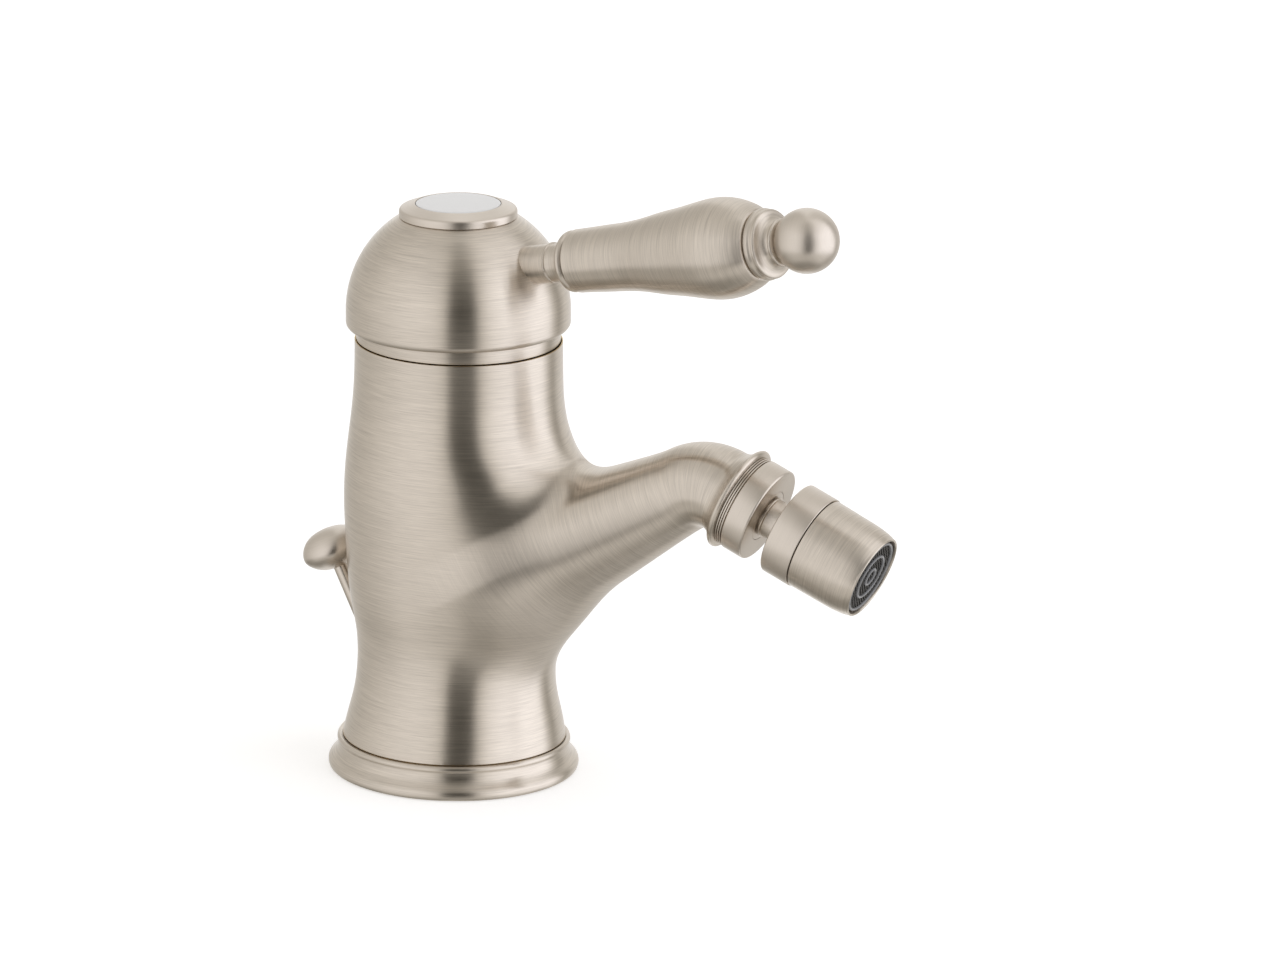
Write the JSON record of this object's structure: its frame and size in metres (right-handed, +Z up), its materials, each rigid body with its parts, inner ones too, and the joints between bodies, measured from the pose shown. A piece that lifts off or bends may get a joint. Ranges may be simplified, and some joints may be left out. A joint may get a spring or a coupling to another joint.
{
  "type": "bidet mixer",
  "caption": "Deck-mounted bidet mixer with a domed single lever, a short arched spout, a swivelling aerator and a pop-up waste rod.",
  "frame": {"origin": "centre of the base ring's underside, on the surface that the mixer stands on", "axes": "+Z up along the body's axis, +X along the spout, so +Y is on the right of someone who faces the spout"},
  "size_m": [0.1604, 0.0626, 0.1606],
  "materials": {
    "brushed_nickel": "brushed nickel, fine lines round each turned form",
    "satin_nickel": "satin nickel, softer than the brushed faces",
    "bare_brass": "machined brass",
    "steel": "plain stainless steel",
    "ceramic": "lapped ceramic",
    "white_disc": "plain white, slightly glossy",
    "white_plastic": "moulded plastic",
    "grey_plastic": "moulded plastic",
    "black_rubber": "seal rubber"
  },
  "bodies": {
    "fixed": {"base_ring": "brushed_nickel", "base_gasket": "black_rubber", "mixer_body": "brushed_nickel", "rod_bush": "grey_plastic", "port_seals": "black_rubber", "cartridge_base": "white_plastic", "cartridge_case": "white_plastic", "fixed_disc": "ceramic", "cartridge_nut": "bare_brass", "trim_ring": "brushed_nickel", "swivel_collar": "satin_nickel", "socket_seal": "black_rubber"},
    "turning_guide": {"stem_guide": "grey_plastic", "stem_pin": "steel"},
    "slider": {"disc_carrier": "white_plastic", "moving_disc": "ceramic"},
    "handle": {"lever_stem": "bare_brass", "handle_screw": "steel", "dome": "brushed_nickel", "cap_ring": "satin_nickel", "index_disc": "white_disc", "lever_neck": "brushed_nickel", "lever_grip": "brushed_nickel", "lever_collar": "brushed_nickel", "lever_ball": "satin_nickel", "tie_rod": "steel"},
    "seat": {"ball_seat": "white_plastic"},
    "aerator": {"ball_stem": "satin_nickel", "aerator_collar": "satin_nickel", "aerator_cap": "brushed_nickel", "aerator_insert": "grey_plastic", "aerator_mesh": "steel", "aerator_washer": "black_rubber"},
    "rod": {"lift_rod": "satin_nickel", "lift_knob": "satin_nickel"}
  },
  "joints": [
    {"name": "temperature", "type": "hinge", "parent": "fixed", "child": "turning_guide", "pos_m": [0, 0, 0.1], "axis": [0, 0, 1], "range_deg": [-35.7, 54.3]},
    {"name": "flow", "type": "hinge", "parent": "turning_guide", "child": "handle", "pos_m": [0, 0, 0.1095], "axis": [-0.1616, -0.9869, 0], "range_deg": [-0.9, 19.1]},
    {"name": "disc_slide", "type": "slide", "parent": "turning_guide", "child": "slider", "axis": [0.9869, -0.1616, 0], "range_m": [-0.0003, 0.0044]},
    {"name": "aerator_spin", "type": "hinge", "parent": "fixed", "child": "seat", "pos_m": [0.08084, 0, 0.07921], "axis": [0.9269, 0, -0.3754], "continuous": true},
    {"name": "aerator_tilt", "type": "hinge", "parent": "seat", "child": "aerator", "pos_m": [0.08084, 0, 0.07921], "axis": [0, 1, 0], "range_deg": [-15, 15]},
    {"name": "rod_pull", "type": "slide", "parent": "fixed", "child": "rod", "axis": [-0.4509, 0, 0.8926], "range_m": [0, 0.022]}
  ],
  "couplings": [
    {"joint": "disc_slide", "follows": "flow", "m_per_rad": 0.01285}
  ]
}
